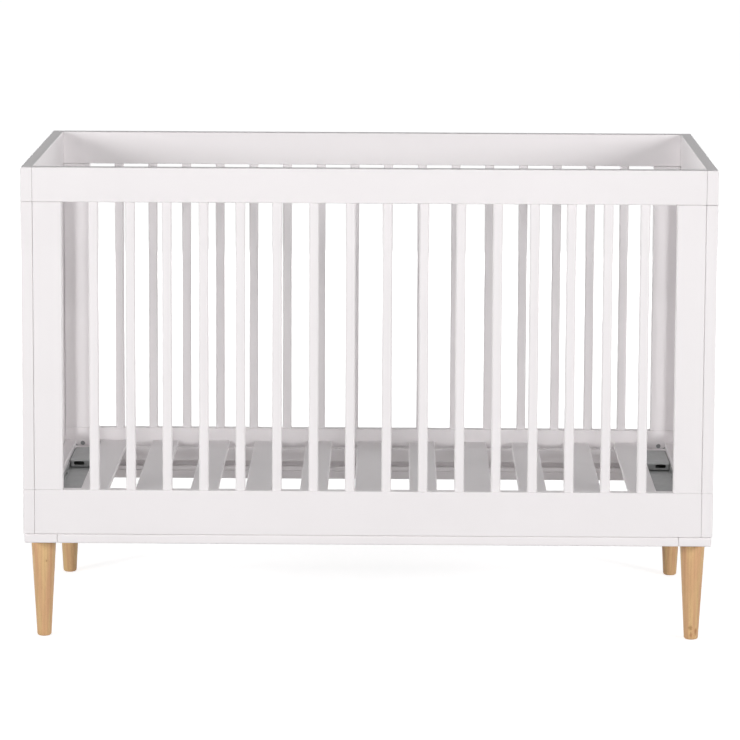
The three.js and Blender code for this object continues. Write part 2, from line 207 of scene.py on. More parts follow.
def turnedBeech():
    look = beechLook
    material, tree = newMaterial("turned_beech_clear_satin")
    place = addNode(tree, "ShaderNodeTexCoord").outputs["Object"]
    band = longNoise(tree, place, look["bandWidth"], look["bandLength"], {"Detail": 2})
    bandShare = addNode(tree, "ShaderNodeMapRange",
                        values={"From Min": look["bandFade"][0], "From Max": look["bandFade"][1]},
                        links={"Value": band})
    base = addNode(tree, "ShaderNodeMix", {"data_type": "RGBA"},
                   {6: fromHex(look["pale"]), 7: fromHex(look["rose"])}, {0: bandShare.outputs[0]})
    ringed = addNode(tree, "ShaderNodeMix", {"data_type": "RGBA"}, {7: fromHex(look["late"])},
                     {0: growthRings(tree, place, look), 6: base.outputs[2]})
    fleck = longNoise(tree, place, look["fleckWidth"], look["fleckLength"], {"Detail": 2, "Roughness": 0.7})
    fleckShare = addNode(tree, "ShaderNodeMapRange",
                         values={"From Min": look["fleckFade"][0], "From Max": look["fleckFade"][1],
                                 "To Max": look["fleckShare"]},
                         links={"Value": fleck})
    flecked = addNode(tree, "ShaderNodeMix", {"data_type": "RGBA"}, {7: fromHex(look["fleck"])},
                      {0: fleckShare.outputs[0], 6: ringed.outputs[2]})
    pores = addNode(tree, "ShaderNodeBump", {"invert": True}, {"Distance": look["poreDepth"]},
                    {"Height": fleckShare.outputs[0]})
    wobble = addNode(tree, "ShaderNodeTexNoise", values={"Scale": look["knotRagged"], "Detail": 1},
                     links={"Vector": place})
    wood = flecked.outputs[2]
    for spot, size, colour in look["knots"]:
        offset = addNode(tree, "ShaderNodeVectorMath", {"operation": "SUBTRACT"}, {1: spot}, {0: place})
        inSizes = addNode(tree, "ShaderNodeVectorMath", {"operation": "DIVIDE"}, {1: size},
                          {0: offset.outputs[0]})
        reach = addNode(tree, "ShaderNodeVectorMath", {"operation": "LENGTH"},
                        links={0: inSizes.outputs[0]})
        ragged = addNode(tree, "ShaderNodeMath", {"operation": "ADD"},
                         links={0: reach.outputs["Value"], 1: wobble.outputs["Fac"]})
        share = addNode(tree, "ShaderNodeMapRange", {"interpolation_type": "SMOOTHSTEP"},
                        {"From Min": look["knotFade"][0], "From Max": look["knotFade"][1],
                         "To Min": look["knotShare"], "To Max": 0},
                        {"Value": ragged.outputs[0]})
        wood = addNode(tree, "ShaderNodeMix", {"data_type": "RGBA"}, {7: fromHex(colour)},
                       {0: share.outputs[0], 6: wood}).outputs[2]
    shader = addNode(tree, "ShaderNodeBsdfPrincipled",
                     values={"IOR": look["ior"], "Roughness": look["roughness"]},
                     links={"Base Color": wood, "Normal": pores.outputs[0]})
    addNode(tree, "ShaderNodeOutputMaterial", links={"Surface": shader.outputs[0]})
    return material


beech = turnedBeech()

# Zinc-plated pressed steel, clear passivated: a neutral mid grey, nearly matt, with a cloudy bloom and
# faint mill lines, drawn coarser than they are so that they show.
zincLook = {
    "bright": "ADAEAE",
    "dull": "959797",
    "cloudSize": 14 * mm,
    "lineWidth": 0.6 * mm,
    "lineLength": 40 * mm,
    "roughness": 0.58,
    "sheenSpread": 0.08,
}


def zincPlatedSteel():
    look = zincLook
    material, tree = newMaterial("zinc_plated_steel")
    place = addNode(tree, "ShaderNodeTexCoord").outputs["Object"]
    cloud = addNode(tree, "ShaderNodeTexNoise", values={"Scale": 1 / look["cloudSize"], "Detail": 4},
                    links={"Vector": place})
    colour = addNode(tree, "ShaderNodeMix", {"data_type": "RGBA"},
                     {6: fromHex(look["bright"]), 7: fromHex(look["dull"])}, {0: cloud.outputs["Fac"]})
    across, along = 1 / look["lineWidth"], 1 / look["lineLength"]
    linePlace = addNode(tree, "ShaderNodeMapping", values={"Scale": (across, along, across)},
                        links={"Vector": place})
    lines = addNode(tree, "ShaderNodeTexNoise", values={"Scale": 1, "Detail": 2},
                    links={"Vector": linePlace.outputs[0]})
    roughness = addNode(tree, "ShaderNodeMapRange",
                        values={"To Min": look["roughness"] - look["sheenSpread"],
                                "To Max": look["roughness"] + look["sheenSpread"]},
                        links={"Value": lines.outputs["Fac"]})
    shader = addNode(tree, "ShaderNodeBsdfPrincipled", values={"Metallic": 1},
                     links={"Base Color": colour.outputs[2], "Roughness": roughness.outputs[0]})
    addNode(tree, "ShaderNodeOutputMaterial", links={"Surface": shader.outputs[0]})
    return material


zinc = zincPlatedSteel()
print("materials made")


def addPiece(name, mesh):
    piece = bpy.data.objects.new(name, mesh)
    scene.collection.objects.link(piece)
    return piece


# Swaps a piece's mesh for the one that its modifiers give.
def settled(piece):
    graph = bpy.context.evaluated_depsgraph_get()
    mesh = bpy.data.meshes.new_from_object(piece.evaluated_get(graph), preserve_all_data_layers=True,
                                           depsgraph=graph)
    piece.modifiers.clear()
    piece.data = mesh
    mesh.name = piece.name
    return piece


# Shades a mesh smooth, apart from its hard edges, so that a wide face stays flat up to its rounded edge.
def shadeFlatFaces(piece, hardFrom=50):
    piece.data.shade_smooth()
    piece.data.set_sharp_from_angle(angle=math.radians(hardFrom))
    weigh = piece.modifiers.new("flat faces", "WEIGHTED_NORMAL")
    weigh.mode = "FACE_AREA_WITH_ANGLE"
    weigh.keep_sharp = True
    return settled(piece)


def easeEdges(piece, width, hardFrom=50):
    soften = piece.modifiers.new("eased edges", "BEVEL")
    soften.limit_method = "ANGLE"
    soften.angle_limit = math.radians(hardFrom)
    soften.width = width
    soften.segments = 2
    return settled(piece)


# A closed copy of a CAD node, with its loose triangles joined into whole faces.
def wholeCopy(nodeName, pieceName):
    mesh = nodes[nodeName].data.copy()
    work = bmesh.new()
    work.from_mesh(mesh)
    bmesh.ops.remove_doubles(work, verts=work.verts, dist=samePoint)
    bmesh.ops.dissolve_limit(work, angle_limit=flatWithin, verts=work.verts, edges=work.edges)
    work.to_mesh(mesh)
    work.free()
    mesh.materials.clear()
    return addPiece(pieceName, mesh)


# Gives a copied frame piece its lacquer and puts it in the CAD node's place.
def lacquered(piece, material, nodeName):
    piece.data.materials.append(material)
    piece = shadeFlatFaces(piece)
    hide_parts(nodeName)
    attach(piece, frameBody)


def lacqueredCopy(nodeName, material):
    lacquered(wholeCopy(nodeName, nodeName + "_lacquered"), material, nodeName)


# Rails, stiles and base boards, each with its grain along its length.
for side in ("front", "rear"):
    for rail in ("top_rail", "bottom_rail"):
        lacqueredCopy(f"{side}_{rail}", lacquerX)
    for stile in ("left_stile", "right_stile"):
        lacqueredCopy(f"{side}_{stile}", lacquerZ)
    lacqueredCopy(f"base_{side}_board", lacquerX)
for end in ("left", "right"):
    lacqueredCopy(f"{end}_end_top_rail", lacquerY)
    for stile in ("front_stile", "rear_stile"):
        lacqueredCopy(f"{end}_end_{stile}", lacquerZ)
    lacqueredCopy(f"base_{end}_board", lacquerY)

# The ends' bottom rails: the CAD piece without its slats, which are made below as bars of their own.
aboveRail = railTop + 0.1 * mm  # only the slats reach past this
for end in ("left", "right"):
    nodeName = f"{end}_end_bottom_rail_and_slats"
    rail = wholeCopy(nodeName, f"{end}_end_bottom_rail_lacquered")
    work = bmesh.new()
    work.from_mesh(rail.data)
    slatPoints = [point for point in work.verts if point.co.z > aboveRail]
    bmesh.ops.delete(work, geom=slatPoints, context="VERTS")
    bmesh.ops.holes_fill(work, edges=[edge for edge in work.edges if edge.is_boundary])
    bmesh.ops.dissolve_limit(work, angle_limit=flatWithin, verts=work.verts, edges=work.edges)
    work.to_mesh(rail.data)
    work.free()
    lacquered(rail, lacquerY, nodeName)
print("panels and base lacquered")


# A new Geometry Nodes tree with its named inputs.
def newMaker(name, sockets):
    tree = bpy.data.node_groups.new(name, "GeometryNodeTree")
    tree.interface.new_socket("Geometry", in_out="INPUT", socket_type="NodeSocketGeometry")
    tree.interface.new_socket("Geometry", in_out="OUTPUT", socket_type="NodeSocketGeometry")
    for label, kind in sockets.items():
        tree.interface.new_socket(label, in_out="INPUT", socket_type="NodeSocket" + kind)
    return tree, addNode(tree, "NodeGroupInput").outputs


# Ends a maker tree: its instances made real and given their material.
def finishMaker(tree, given, instances):
    real = addNode(tree, "GeometryNodeRealizeInstances", links={0: instances.outputs[0]})
    dressed = addNode(tree, "GeometryNodeSetMaterial",
                      links={"Geometry": real.outputs[0], "Material": given["Material"]})
    addNode(tree, "NodeGroupOutput", links={0: dressed.outputs[0]})
    return tree


# Grows a piece from a maker tree, on points that may each face their own way.
def grown(pieceName, tree, inputs, points=(), facing=()):
    mesh = bpy.data.meshes.new(pieceName)
    mesh.from_pydata(points, [], [])
    if facing:
        directions = mesh.attributes.new("facing", "FLOAT_VECTOR", "POINT")
        directions.data.foreach_set("vector", [part for direction in facing for part in direction])
    piece = addPiece(pieceName, mesh)
    maker = piece.modifiers.new(tree.name, "NODES")
    maker.node_group = tree
    for socket in tree.interface.items_tree:
        if socket.in_out == "INPUT" and socket.name in inputs:
            maker[socket.identifier] = inputs[socket.name]
    return settled(piece)


barShape = {"edgeSteps": 5, "endEase": 0.6 * mm}


# Bars in a row, such as slats and battens: a section with eased edges drawn along a line, and copies of it
# laid at an even step.
def barMaker():
    tree, given = newMaker("bars_in_a_row", {
        "Count": "Int", "First": "Vector", "Step": "Vector", "Width": "Float", "Depth": "Float",
        "Length": "Float", "Edge": "Float", "Turn": "Vector", "Material": "Material"})
    half = addNode(tree, "ShaderNodeMath", {"operation": "MULTIPLY"}, {1: 0.5}, {0: given["Length"]})
    minus = addNode(tree, "ShaderNodeMath", {"operation": "MULTIPLY"}, {1: -0.5}, {0: given["Length"]})
    start = addNode(tree, "ShaderNodeCombineXYZ", links={"X": minus.outputs[0]})
    stop = addNode(tree, "ShaderNodeCombineXYZ", links={"X": half.outputs[0]})
    line = addNode(tree, "GeometryNodeCurvePrimitiveLine",
                   links={"Start": start.outputs[0], "End": stop.outputs[0]})
    section = addNode(tree, "GeometryNodeCurvePrimitiveQuadrilateral",
                      links={"Width": given["Width"], "Height": given["Depth"]})
    eased = addNode(tree, "GeometryNodeFilletCurve", {"mode": "POLY"},
                    {"Count": barShape["edgeSteps"], "Limit Radius": True},
                    {"Curve": section.outputs[0], "Radius": given["Edge"]})
    bar = addNode(tree, "GeometryNodeCurveToMesh", values={"Fill Caps": True},
                  links={"Curve": line.outputs[0], "Profile Curve": eased.outputs[0]})
    laid = addNode(tree, "GeometryNodeTransform",
                   links={"Geometry": bar.outputs[0], "Rotation": given["Turn"]})
    places = addNode(tree, "GeometryNodeMeshLine",
                     links={"Count": given["Count"], "Start Location": given["First"],
                            "Offset": given["Step"]})
    row = addNode(tree, "GeometryNodeInstanceOnPoints",
                  links={"Points": places.outputs[0], "Instance": laid.outputs[0]})
    return finishMaker(tree, given, row)


barsInARow = barMaker()
alongX, alongY, alongZ = (0, 0, 0), (0, 0, math.pi / 2), (0, math.pi / 2, 0)  # turns from lying along x


# Bars from their first and last boxes, each box a pair of opposite corners.
def bars(pieceName, count, firstBox, lastBox, turn, edge, material, body, standsFor):
    low, high = Vector(firstBox[0]), Vector(firstBox[1])
    first, size = (low + high) / 2, high - low
    last = (Vector(lastBox[0]) + Vector(lastBox[1])) / 2
    step = (last - first) / max(count - 1, 1)
    width, depth, length = {alongX: (size.y, size.z, size.x), alongY: (size.x, size.z, size.y),
                            alongZ: (size.y, size.x, size.z)}[turn]
    piece = grown(pieceName, barsInARow, {
        "Count": count, "First": first, "Step": step, "Width": width, "Depth": depth,
        "Length": length, "Edge": edge, "Turn": turn, "Material": material})
    piece = shadeFlatFaces(easeEdges(piece, barShape["endEase"]))
    if standsFor:
        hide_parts(*standsFor)
    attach(piece, body)


# Side slats: 16 to a side, with edges rounded to the touch.
slatShape = {"sideCount": 16, "endCount": 8, "edge": 4.5 * mm}
for side in ("front", "rear"):
    names = [f"{side}_slat_{i:02d}" for i in range(1, slatShape["sideCount"] + 1)]
    bars(f"{side}_slats_lacquered", slatShape["sideCount"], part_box(names[0]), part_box(names[-1]), alongZ,
         slatShape["edge"], lacquerZ, frameBody, names)

# End slats: the same bars turned, 8 to an end with equal gaps between the stiles.
slatLow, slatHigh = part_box("front_slat_01")
slatWide, slatDeep = slatHigh.x - slatLow.x, slatHigh.y - slatLow.y
stileInnerY = -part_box("left_end_front_stile")[1].y
slatGap = (2 * stileInnerY - slatShape["endCount"] * slatWide) / (slatShape["endCount"] + 1)
firstSlatY = -stileInnerY + slatGap + slatWide / 2
for end, way in zip(("left", "right"), ways):
    middleX = way * (endInnerX + endOuterX) / 2
    slatBoxes = [((middleX - slatDeep / 2, y - slatWide / 2, slatLow.z),
                  (middleX + slatDeep / 2, y + slatWide / 2, slatHigh.z))
                 for y in (firstSlatY, -firstSlatY)]
    bars(f"{end}_end_slats_lacquered", slatShape["endCount"], *slatBoxes, alongZ, slatShape["edge"],
         lacquerZ, frameBody, [f"{end}_end_bottom_rail_and_slats"])
print("slats made")

# Strips on the base that locate the panels on it, along the inside of both long sides.
stripShape = {"high": 9 * mm, "fromEnd": 1 * mm, "edge": 1.5 * mm}
stripX, stripTop = endInnerX - stripShape["fromEnd"], baseTop + stripShape["high"]
stripOuterY = railInnerY - touchGap
stripBoxes = [((-stripX, -stripOuterY, baseTop), (stripX, -baseInnerY, stripTop)),
              ((-stripX, baseInnerY, baseTop), (stripX, stripOuterY, stripTop))]
bars("base_locating_strips", 2, *stripBoxes, alongX, stripShape["edge"], lacquerX, frameBody, [])

# Mattress deck: cross slats on two battens, with a cleat across each end.
deckShape = {
    "slats": 11,
    "slatWide": 56.5 * mm,
    "slatThick": 9.5 * mm,
    "slatStep": 111.49 * mm,
    "battenWide": 20 * mm,
    "battenHigh": 28.5 * mm,
    "battenFromEnd": 17 * mm,
    "cleatWide": 24 * mm,
    "edge": 2 * mm,
}
slatsUnder = deckHigh.z - deckShape["slatThick"]
battenUnder = slatsUnder - deckShape["battenHigh"]
cleatInnerX = deckHigh.x - deckShape["cleatWide"]
battenStarts = (deckLow.y + deckShape["battenFromEnd"],
                deckHigh.y - deckShape["battenFromEnd"] - deckShape["battenWide"])


def deckBars(part, count, turn, material, boxes):
    bars(f"mattress_deck_{part}", count, *boxes, turn, deckShape["edge"], material, deckBody,
         ["mattress_deck"])


lastSlatX, halfSlat = (deckShape["slats"] - 1) / 2 * deckShape["slatStep"], deckShape["slatWide"] / 2
deckBars("slats", deckShape["slats"], alongY, lacquerY,
         [((x - halfSlat, deckLow.y, slatsUnder), (x + halfSlat, deckHigh.y, deckHigh.z))
          for x in (-lastSlatX, lastSlatX)])
deckBars("battens", 2, alongX, lacquerX,
         [((-cleatInnerX, y, battenUnder), (cleatInnerX, y + deckShape["battenWide"], slatsUnder))
          for y in battenStarts])
deckBars("cleats", 2, alongY, lacquerY,
         [((x, deckLow.y, deckLow.z), (x + deckShape["cleatWide"], deckHigh.y, deckHigh.z))
          for x in (deckLow.x, cleatInnerX)])
print("deck made")

# End brackets of the deck, folded from 2 mm sheet: a shallow channel along the cleat, and at each end of it
# a plate bent over from its web, whose free edge is folded down and slotted.
bracketShape = {
    "sheet": 2 * mm,
    "bend": 3 * mm,
    "lipBend": 2 * mm,
    "bendSteps": 5,
    "flangeHigh": 5.5 * mm,
    "flangeInward": 3.5 * mm,
    "floorRaised": 10 * mm,
    "plateLong": 160 * mm,
    "plateWide": 52.19 * mm,
    "cornerRound": 9 * mm,
    "cornerSteps": 6,
    "lipHigh": 14.5 * mm,
    "slotFromWeb": 21 * mm,
    "slotWide": 22 * mm,
    "slotHigh": 7.5 * mm,
    "slotCorner": 2 * mm,
    "edgeEase": 0.35 * mm,
    "edgeAngle": 60,
}


def arc(centre, radius, fromAngle, toAngle):
    steps = bracketShape["bendSteps"]
    angles = [math.radians(fromAngle + (toAngle - fromAngle) * i / steps) for i in range(steps + 1)]
    return [(centre[0] + radius * math.cos(a), centre[1] + radius * math.sin(a)) for a in angles]


# Faces over a grid of points: pointAt gives the place of each crossing, and skips lists cells to leave out.
def gridFaces(work, rows, columns, pointAt, skips=()):
    grid = [[work.verts.new(pointAt(row, column)) for column in columns] for row in rows]
    for i in range(len(rows) - 1):
        for j in range(len(columns) - 1):
            if (i, j) not in skips:
                work.faces.new((grid[i][j], grid[i][j + 1], grid[i + 1][j + 1], grid[i + 1][j]))
    return grid


# Middle surface of one bracket, for the left end; the right one is the same turned half round.
def bracketSheet():
    shape = bracketShape
    low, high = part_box("left_end_bracket")
    half, bend = shape["sheet"] / 2, shape["bend"]
    webX, floorZ, plateZ = low.x + half, low.z + shape["floorRaised"] + half, high.z - half
    flangeX, plateEndX = high.x - shape["flangeInward"] - half, low.x + shape["plateWide"]
    endY, lipY = high.y, high.y - shape["plateLong"] + half
    lipTurn = lipY + shape["lipBend"]
    work = bmesh.new()
    channel = [(flangeX, floorZ + shape["flangeHigh"])]
    channel += arc((flangeX - bend, floorZ + bend), bend, 0, -90)
    channel += arc((webX + bend, floorZ + bend), bend, -90, -180)
    channel += [(webX, plateZ - bend)]
    gridFaces(work, channel, (-endY, -lipTurn, lipTurn, endY), lambda place, y: (place[0], y, place[1]))

    slotLeft = low.x + shape["slotFromWeb"] - shape["slotWide"] / 2
    slotRight, cut = slotLeft + shape["slotWide"], shape["slotCorner"]
    acrossPlate = [webX + bend, slotLeft, slotLeft + cut, slotRight - cut, slotRight, plateEndX]
    lipTop = plateZ - shape["lipBend"]
    slotBottom = lipTop - shape["slotHigh"]
    downLip = [lipTop, lipTop - cut, slotBottom + cut, slotBottom, high.z - shape["lipHigh"]]
    for way in ways:
        overBend = arc((webX + bend, plateZ - bend), bend, 180, 90)
        gridFaces(work, overBend, (way * lipTurn, way * endY), lambda place, y: (place[0], y, place[1]))
        plate = gridFaces(work, acrossPlate, (way * lipTurn, way * endY), lambda x, y: (x, y, plateZ))
        bmesh.ops.bevel(work, geom=[plate[-1][1]], offset=shape["cornerRound"],
                        segments=shape["cornerSteps"], profile=0.5, affect="VERTICES")
        lipBend = arc((lipTurn, lipTop), shape["lipBend"], 90, 180)
        gridFaces(work, lipBend, acrossPlate, lambda place, x: (x, way * place[0], place[1]))
        slotCells = [(i, j) for i in (0, 1, 2) for j in (1, 2, 3)]
        lip = gridFaces(work, downLip, acrossPlate, lambda z, x: (x, way * lipY, z), slotCells)
        for i, j, down, along in ((0, 1, 1, 1), (0, 4, 1, -1), (3, 1, -1, 1), (3, 4, -1, -1)):
            work.faces.new((lip[i][j], lip[i + down][j], lip[i][j + along]))  # fills a corner of the slot
    bmesh.ops.remove_doubles(work, verts=work.verts, dist=samePoint)
    loose = [point for point in work.verts if not point.link_faces]
    bmesh.ops.delete(work, geom=loose, context="VERTS")
    bmesh.ops.recalc_face_normals(work, faces=work.faces)
    return work


for end, halfTurns in (("left", 0), ("right", 1)):
    work = bracketSheet()
    bmesh.ops.rotate(work, verts=work.verts, cent=(0, 0, 0),
                     matrix=Matrix.Rotation(halfTurns * math.pi, 3, "Z"))
    mesh = bpy.data.meshes.new("folded")
    work.to_mesh(mesh)
    work.free()
    mesh.materials.append(zinc)
    bracket = addPiece(f"{end}_end_bracket_folded", mesh)
    thicken = bracket.modifiers.new("sheet", "SOLIDIFY")
    thicken.thickness = bracketShape["sheet"]
    thicken.offset = 0
    thicken.use_even_offset = True
    bracket = easeEdges(settled(bracket), bracketShape["edgeEase"], bracketShape["edgeAngle"])
    bracket = shadeFlatFaces(bracket)
    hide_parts(f"{end}_end_bracket")
    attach(bracket, deckBody)
print("brackets folded")


# A recess in a fastener's head, by the names of the tree's inputs below.
def recess(sides, radius, depth, stretch=1, crossed=False):
    return {"Recess Sides": sides, "Recess Radius": radius, "Recess Depth": depth,
            "Recess Stretch": (1, stretch, 1), "Crossed": crossed}


hexagon = recess(6, 2.31 * mm, 2 * mm)
driverSlot = recess(4, 7 * mm, 1.2 * mm, stretch=0.16)
driverCross = recess(4, 3 * mm, 1.2 * mm, stretch=0.24, crossed=True)
threadedHole = recess(24, 2.6 * mm, 9 * mm)
washerHole = recess(24, 2.6 * mm, 1 * mm)

# Radius, height and recess of each kind of fastener, as far as it shows or fills its hole.
fastenerShape = {
    "connector_bolts": (6.6 * mm, 3.4 * mm, hexagon),
    "barrel_nuts": (5 * mm, 12 * mm, driverSlot),
    "threaded_inserts": (3.4 * mm, 12 * mm, threadedHole),
    "base_screws": (4.5 * mm, 1 * mm, driverCross),
    "height_bolt_washers": (7.5 * mm, 1.2 * mm, washerHole),
    "height_bolts": (5.5 * mm, 3.6 * mm, hexagon),
    "deck_screws": (4 * mm, 1 * mm, driverCross),
    "bracket_screws": (4 * mm, 2.2 * mm, driverCross),
    "headSides": 32,
    "edgeEase": 0.3 * mm,
    "edgeAngle": 40,
    "sharpAngle": 35,
}


# Fasteners on points that face outward: a round head with its recess sunk in it, each one turned as chance
# left it.
def fastenerMaker():
    tree, given = newMaker("fasteners_on_points", {
        "Head Radius": "Float", "Head Height": "Float", "Recess Sides": "Int", "Recess Radius": "Float",
        "Recess Depth": "Float", "Recess Stretch": "Vector", "Crossed": "Bool", "Seed": "Int",
        "Material": "Material"})
    half = addNode(tree, "ShaderNodeMath", {"operation": "MULTIPLY"}, {1: 0.5}, {0: given["Head Height"]})
    raised = addNode(tree, "ShaderNodeCombineXYZ", links={"Z": half.outputs[0]})
    top = addNode(tree, "ShaderNodeCombineXYZ", links={"Z": given["Head Height"]})
    twice = addNode(tree, "ShaderNodeMath", {"operation": "MULTIPLY"}, {1: 2}, {0: given["Recess Depth"]})
    blank = addNode(tree, "GeometryNodeMeshCylinder", {"fill_type": "NGON"},
                    {"Vertices": fastenerShape["headSides"]},
                    {"Radius": given["Head Radius"], "Depth": given["Head Height"]})
    head = addNode(tree, "GeometryNodeTransform",
                   links={"Geometry": blank.outputs[0], "Translation": raised.outputs[0]})
    punch = addNode(tree, "GeometryNodeMeshCylinder", {"fill_type": "NGON"},
                    links={"Vertices": given["Recess Sides"], "Radius": given["Recess Radius"],
                           "Depth": twice.outputs[0]})
    square = addNode(tree, "GeometryNodeTransform", values={"Rotation": (0, 0, math.pi / 4)},
                     links={"Geometry": punch.outputs[0]})
    tool = addNode(tree, "GeometryNodeTransform",
                   links={"Geometry": square.outputs[0], "Translation": top.outputs[0],
                          "Scale": given["Recess Stretch"]})
    across = addNode(tree, "GeometryNodeTransform", values={"Rotation": (0, 0, math.pi / 2)},
                     links={"Geometry": tool.outputs[0]})
    second = addNode(tree, "GeometryNodeSwitch", {"input_type": "GEOMETRY"},
                     links={"Switch": given["Crossed"], "True": across.outputs[0]})
    sunk = addNode(tree, "GeometryNodeMeshBoolean", {"operation": "DIFFERENCE", "solver": "EXACT"},
                   links={"Mesh 1": head.outputs[0], "Mesh 2": tool.outputs[0]})
    tree.links.new(second.outputs[0], sunk.inputs["Mesh 2"])
    facing = addNode(tree, "GeometryNodeInputNamedAttribute", {"data_type": "FLOAT_VECTOR"},
                     {"Name": "facing"})
    outward = addNode(tree, "FunctionNodeAlignRotationToVector", {"axis": "Z"},
                      links={"Vector": facing.outputs[0]})
    chance = addNode(tree, "FunctionNodeRandomValue", {"data_type": "FLOAT"}, {2: 0, 3: 2 * math.pi},
                     {"Seed": given["Seed"]})
    about = addNode(tree, "FunctionNodeAxisAngleToRotation", values={"Axis": (0, 0, 1)},
                    links={"Angle": chance.outputs[1]})
    turnedRound = addNode(tree, "FunctionNodeRotateRotation", {"rotation_space": "LOCAL"},
                          links={0: outward.outputs[0], 1: about.outputs[0]})
    placed = addNode(tree, "GeometryNodeInstanceOnPoints",
                     links={"Points": given["Geometry"], "Instance": sunk.outputs[0],
                            "Rotation": turnedRound.outputs[0]})
    return finishMaker(tree, given, placed)


fastenersOnPoints = fastenerMaker()


# Each spot is the place of a fastener's back and the way that it faces.
def fasteners(pieceName, seed, body, spots):
    radius, height, recessInputs = fastenerShape[pieceName]
    points, facing = zip(*spots)
    piece = grown(pieceName, fastenersOnPoints, recessInputs | {
        "Head Radius": radius, "Head Height": height, "Seed": seed, "Material": zinc}, points, facing)
    piece = easeEdges(piece, fastenerShape["edgeEase"], fastenerShape["edgeAngle"])
    piece = shadeFlatFaces(piece, fastenerShape["sharpAngle"])
    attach(piece, body)


fastenerPlaces = {
    "lowBoltZ": 275.3 * mm,
    "topBoltAboveRail": 34.5 * mm,
    "boltSunk": 5 * mm,  # to its head's back
    "lowNutX": 627 * mm,
    "topNutX": 597 * mm,
    "nutPastBolt": 4.5 * mm,  # how far the nut's back lies past the bolt's axis
    "insertY": 351 * mm,
    "insertZ": (268.3 * mm, 348.3 * mm, 428.3 * mm, 508.3 * mm),
    "insertSunk": 0.4 * mm,  # to its open end
    "baseFrontScrewX": (-500 * mm, -250 * mm, 0, 250 * mm, 500 * mm),
    "baseFrontScrewIn": 8 * mm,
    "baseEndScrewX": 653 * mm,
    "baseEndScrewY": (-200 * mm, 0, 200 * mm),
    "screwSunk": 0.6 * mm,  # to its head's back
    "bracketScrewY": (70 * mm, 230 * mm),
    "bracketScrewUp": 20 * mm,
}
places = fastenerPlaces
corners = [(x, y) for x in ways for y in ways]
topBoltZ = topRailBottom + places["topBoltAboveRail"]
fasteners("connector_bolts", 3, frameBody,
          [((x * (endOuterX - places["boltSunk"]), y * sideMiddleY, z), (x, 0, 0))
           for x, y in corners for z in (places["lowBoltZ"], topBoltZ)])
fasteners("barrel_nuts", 5, frameBody,
          [((x * places["lowNutX"], y * (sideMiddleY + places["nutPastBolt"]), places["lowBoltZ"]),
            (0, -y, 0)) for x, y in corners]
          + [((x * places["topNutX"], y * sideMiddleY, topBoltZ + places["nutPastBolt"]), (0, 0, -1))
             for x, y in corners])
insertBackX = endInnerX + places["insertSunk"] + fastenerShape["threaded_inserts"][1]
fasteners("threaded_inserts", 7, frameBody,
          [((x * insertBackX, y * places["insertY"], z), (-x, 0, 0))
           for x, y in corners for z in places["insertZ"]])
baseScrewY, baseScrewZ = sideMiddleY - places["baseFrontScrewIn"], baseUnder + places["screwSunk"]
fasteners("base_screws", 9, frameBody,
          [((x, y * baseScrewY, baseScrewZ), (0, 0, -1)) for x in places["baseFrontScrewX"] for y in ways]
          + [((x * places["baseEndScrewX"], y, baseScrewZ), (0, 0, -1))
             for x in ways for y in places["baseEndScrewY"]])
heightBoltZ = places["insertZ"][0]
washerFaceX = cleatInnerX - fastenerShape["height_bolt_washers"][1]
fasteners("height_bolt_washers", 1, deckBody,
          [((x * cleatInnerX, y * places["insertY"], heightBoltZ), (-x, 0, 0)) for x, y in corners])
fasteners("height_bolts", 11, deckBody,
          [((x * washerFaceX, y * places["insertY"], heightBoltZ), (-x, 0, 0)) for x, y in corners])
battenMiddleY, deckScrewZ = battenStarts[1] + deckShape["battenWide"] / 2, battenUnder + places["screwSunk"]
fasteners("deck_screws", 13, deckBody,
          [((i * deckShape["slatStep"] - lastSlatX, y * battenMiddleY, deckScrewZ), (0, 0, -1))
           for i in range(deckShape["slats"]) for y in ways])
webFaceX = cleatInnerX - touchGap - bracketShape["sheet"]
fasteners("bracket_screws", 17, deckBody,
          [((x * webFaceX, y * side, deckLow.z + places["bracketScrewUp"]), (-x, 0, 0))
           for x, y in corners for side in places["bracketScrewY"]])
print("fasteners set")

# Legs, turned from a blank: straight taper, a small shoulder at the top and a rounded foot.
legShape = {
    "footRadius": 14.5 * mm,
    "footRound": 5 * mm,
    "topRadius": 25.25 * mm,
    "shoulder": 1.5 * mm,
    "roundSteps": 8,
    "segments": 96,
}


# A closed solid turned round an upright axis, from its outline of radii and heights.
def turned(outline, centre, segments):
    work = bmesh.new()
    rings = []
    for radius, height in outline:
        rings.append([work.verts.new((centre[0] + radius * math.cos(2 * math.pi * i / segments),
                                      centre[1] + radius * math.sin(2 * math.pi * i / segments), height))
                      for i in range(segments)])
    for low, high in zip(rings, rings[1:]):
        for i in range(segments):
            j = (i + 1) % segments
            work.faces.new((low[i], low[j], high[j], high[i]))
    work.faces.new(list(reversed(rings[0])))
    work.faces.new(rings[-1])
    bmesh.ops.recalc_face_normals(work, faces=work.faces)
    mesh = bpy.data.meshes.new("turned")
    work.to_mesh(mesh)
    work.free()
    return mesh


def legOutline(height):
    shape = legShape
    foot, shoulder, steps = shape["footRound"], shape["shoulder"], shape["roundSteps"]
    angles = [math.pi / 2 * i / steps for i in range(steps + 1)]
    footCentre, shoulderCentre = shape["footRadius"] - foot, shape["topRadius"] - shoulder
    rounded = [(footCentre + foot * math.sin(a), foot - foot * math.cos(a)) for a in angles]
    eased = [(shoulderCentre + shoulder * math.cos(a), height - shoulder + shoulder * math.sin(a))
             for a in angles]
    return rounded + eased


for row in ("front", "rear"):
    for side in ("left", "right"):
        low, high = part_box(f"{row}_{side}_leg")
        mesh = turned(legOutline(baseUnder - touchGap), (low + high) / 2, legShape["segments"])
        mesh.materials.append(beech)
        leg = shadeFlatFaces(addPiece(f"{row}_{side}_turned_leg", mesh))
        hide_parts(f"{row}_{side}_leg")
        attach(leg, frameBody)
print("legs turned")

